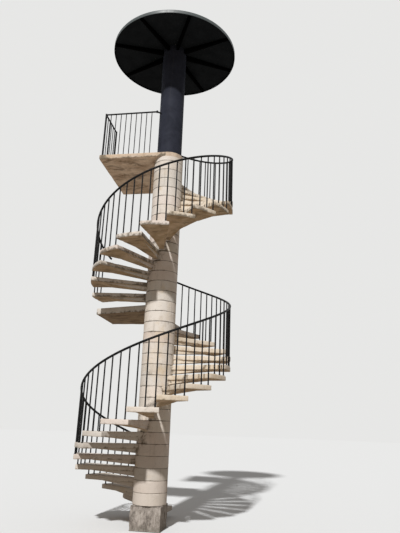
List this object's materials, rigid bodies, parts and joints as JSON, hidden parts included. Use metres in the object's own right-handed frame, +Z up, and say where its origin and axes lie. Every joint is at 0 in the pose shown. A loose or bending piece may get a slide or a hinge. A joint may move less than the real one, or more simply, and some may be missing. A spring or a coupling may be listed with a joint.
{
  "type": "spiral staircase",
  "caption": "Outdoor stone spiral stair on a drum column, with open cantilevered treads, two wall landings, iron handrails and a round steel canopy on a tube.",
  "frame": {"origin": "on the stair's axis, at the foot of the base block, level with the ground", "axes": "+Z up, +Y towards the wall behind the landings, +X to the right seen from the front; the stair climbs anticlockwise seen from above"},
  "size_m": [2.5599, 2.565, 8.963],
  "materials": {
    "stone": "pale limestone, sawn and weathered",
    "foot_stone": "rough-hewn grey stone",
    "iron": "satin black paint on iron",
    "steel": "satin blue-grey paint on steel"
  },
  "bodies": {
    "root": {"base_block": "foot_stone", "lower_step_01": "stone", "lower_step_02": "stone", "lower_step_03": "stone", "lower_step_04": "stone", "lower_step_05": "stone", "lower_step_06": "stone", "lower_step_07": "stone", "lower_step_08": "stone", "lower_step_09": "stone", "lower_step_10": "stone", "lower_step_11": "stone", "lower_step_12": "stone", "lower_step_13": "stone", "lower_step_14": "stone", "lower_step_15": "stone", "lower_step_16": "stone", "lower_step_17": "stone", "lower_step_18": "stone", "lower_step_19": "stone", "first_landing": "stone", "upper_step_01": "stone", "upper_step_02": "stone", "upper_step_03": "stone", "upper_step_04": "stone", "upper_step_05": "stone", "upper_step_06": "stone", "upper_step_07": "stone", "upper_step_08": "stone", "upper_step_09": "stone", "upper_step_10": "stone", "upper_step_11": "stone", "upper_step_12": "stone", "upper_step_13": "stone", "upper_step_14": "stone", "upper_step_15": "stone", "top_landing": "stone", "lower_handrail": "iron", "lower_balusters": "iron", "upper_handrail": "iron", "upper_balusters": "iron", "front_railing": "iron", "side_railing": "iron", "canopy_tube": "steel", "canopy_ribs": "steel", "canopy_roof": "steel"}
  },
  "joints": []
}
